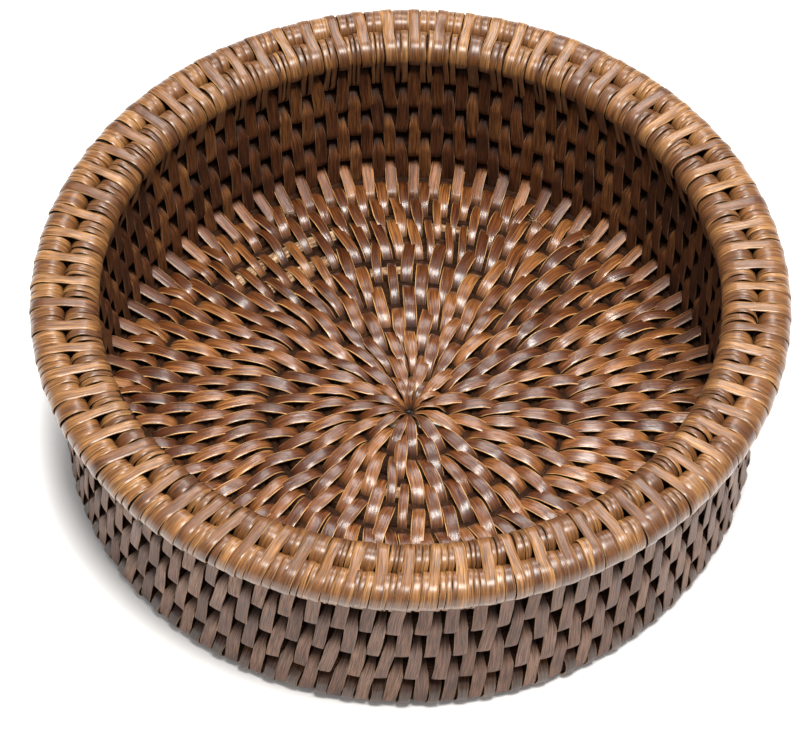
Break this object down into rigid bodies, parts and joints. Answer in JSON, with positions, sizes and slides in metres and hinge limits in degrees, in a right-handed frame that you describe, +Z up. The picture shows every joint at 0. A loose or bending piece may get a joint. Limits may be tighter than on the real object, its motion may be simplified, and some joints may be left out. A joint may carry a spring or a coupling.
{
  "type": "woven fruit basket",
  "caption": "Round shallow fruit basket of coiled cane, sewn coil to coil with narrow rattan peel, with upright walls and a double-cane rim lashed across the top.",
  "frame": {"origin": "centre of the round footprint, on the surface the basket stands on", "axes": "+Z up out of the open bowl; +X along the heading where the floor's cane spiral starts; the basket has no front"},
  "size_m": [0.2, 0.2, 0.0617],
  "materials": {
    "cane": "matte round cane core",
    "floor_peel": "semi-gloss red-brown rattan peel",
    "wall_peel": "satin dark brown rattan peel",
    "rim_peel": "glossy golden-brown rattan peel"
  },
  "bodies": {
    "root": {"floor_spiral_cane": "cane", "floor_edge_cane": "cane", "rim_inner_cane": "cane", "rim_outer_cane": "cane", "wall_cane_course_1": "cane", "wall_cane_course_2": "cane", "wall_cane_course_3": "cane", "wall_cane_course_4": "cane", "wall_cane_course_5": "cane", "floor_lashing_turn_1": "floor_peel", "floor_lashing_turn_2": "floor_peel", "floor_lashing_turn_3": "floor_peel", "floor_lashing_turn_4": "floor_peel", "floor_lashing_turn_5": "floor_peel", "floor_lashing_turn_6": "floor_peel", "floor_lashing_turn_7": "floor_peel", "floor_lashing_turn_8": "floor_peel", "floor_lashing_turn_9": "floor_peel", "wall_lashing_row_1": "wall_peel", "wall_lashing_row_2": "wall_peel", "wall_lashing_row_3": "wall_peel", "wall_lashing_row_4": "wall_peel", "foot_lashing": "wall_peel", "rim_inner_lashing": "rim_peel", "rim_outer_lashing": "rim_peel", "rim_cross_lashing": "rim_peel"}
  },
  "joints": []
}
